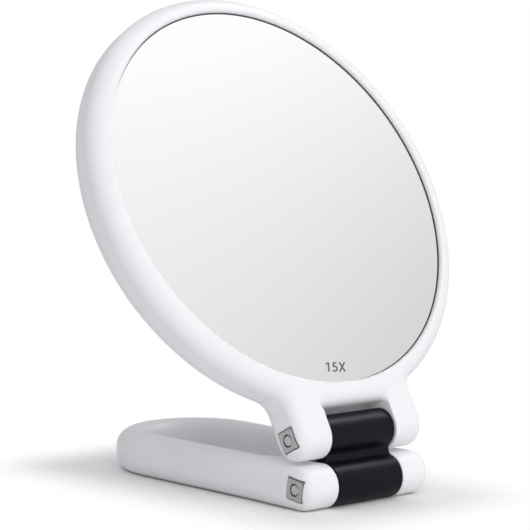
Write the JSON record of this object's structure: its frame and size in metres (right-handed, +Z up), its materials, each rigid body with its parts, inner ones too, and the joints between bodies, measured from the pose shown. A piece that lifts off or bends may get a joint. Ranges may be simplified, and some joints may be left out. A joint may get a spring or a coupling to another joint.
{
  "type": "folding hand mirror",
  "caption": "Double-sided magnifying hand mirror whose loop handle folds on a double-pivot hinge and doubles as a stand.",
  "frame": {"origin": "on the table, under the middle of the handle's length and width", "axes": "+X along the two hinge pivots, -Y to the front where the magnifying mirror faces, +Y to the back of the loop, +Z up from the table"},
  "size_m": [0.15, 0.1161, 0.1638],
  "materials": {
    "white_plastic": "satin, very fine mould texture",
    "white_cover_plastic": "satin",
    "inner_plastic": "matte",
    "dark_plastic": "satin",
    "bolt_steel": "zinc plated",
    "nut_steel": "zinc plated",
    "spring_steel": "oiled",
    "sleeve_steel": "drawn tube",
    "screw_steel": "zinc plated",
    "nylon": "natural",
    "foam_tape": "closed-cell foam",
    "magnifying_glass": "silvered glass",
    "plain_glass": "silvered glass"
  },
  "bodies": {
    "handle": {"handle_frame": "white_plastic", "handle_cover": "white_cover_plastic", "handle_cover_screws": "screw_steel", "lower_hinge_bolt": "bolt_steel", "lower_hinge_nut": "nut_steel", "lower_spring_washer": "spring_steel"},
    "link": {"hinge_link": "dark_plastic", "lower_link_sleeve": "sleeve_steel", "upper_link_sleeve": "sleeve_steel", "lower_friction_washers": "nylon", "upper_friction_washers": "nylon"},
    "head": {"head_frame": "white_plastic", "rear_bezel": "white_plastic", "centre_plate": "inner_plastic", "centre_plate_screws": "screw_steel", "magnifying_mirror": "magnifying_glass", "magnifying_mirror_tape": "foam_tape", "plain_mirror": "plain_glass", "plain_mirror_tape": "foam_tape", "upper_hinge_bolt": "bolt_steel", "upper_hinge_nut": "nut_steel", "upper_spring_washer": "spring_steel"}
  },
  "joints": [
    {"name": "lower_hinge", "type": "hinge", "parent": "handle", "child": "link", "pos_m": [0, -0.0509, 0.0072], "axis": [1, 0, 0], "range_deg": [0, 192]},
    {"name": "upper_hinge", "type": "hinge", "parent": "link", "child": "head", "pos_m": [0, -0.04761, 0.02265], "axis": [1, 0, 0], "range_deg": [-60, 104]}
  ]
}
